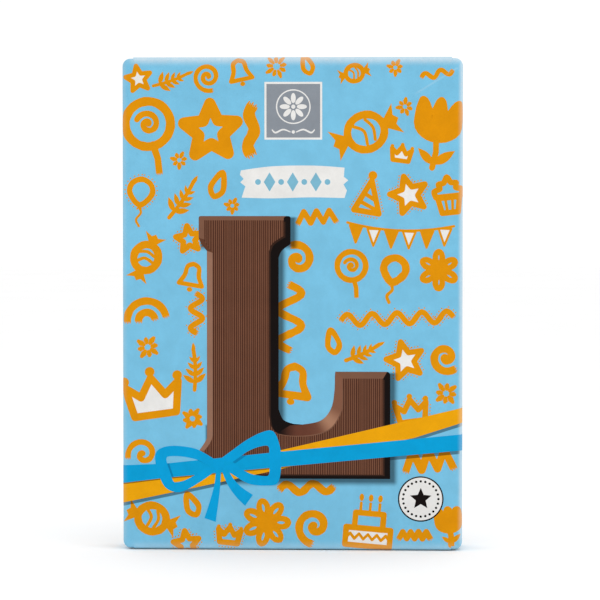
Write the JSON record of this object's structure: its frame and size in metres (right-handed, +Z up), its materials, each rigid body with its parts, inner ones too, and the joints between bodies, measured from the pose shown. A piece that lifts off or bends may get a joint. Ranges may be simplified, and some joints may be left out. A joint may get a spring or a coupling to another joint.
{
  "type": "folding carton of a chocolate letter",
  "caption": "Shut slim folding carton for a chocolate letter, printed light blue with orange festive figures, a ribbon with a bow and a picture of a ribbed chocolate L.",
  "frame": {"origin": "on the surface that the carton stands on, under the middle of its box", "axes": "+Z up the carton, -Y out of the printed front, +X to the right as the front is looked at"},
  "size_m": [0.1, 0.016, 0.145],
  "materials": {
    "blue_board": "coated board printed light blue, satin",
    "bare_board": "uncoated cut edge of pale board",
    "orange_ink": "orange print under satin varnish",
    "white_ink": "white print under satin varnish",
    "cyan_ink": "bright blue print under satin varnish",
    "golden_ink": "golden orange print under satin varnish",
    "grey_ink": "grey print under satin varnish",
    "chocolate_ink": "milk chocolate brown print under satin varnish"
  },
  "bodies": {
    "root": {"carton": "blue_board"}
  },
  "joints": []
}
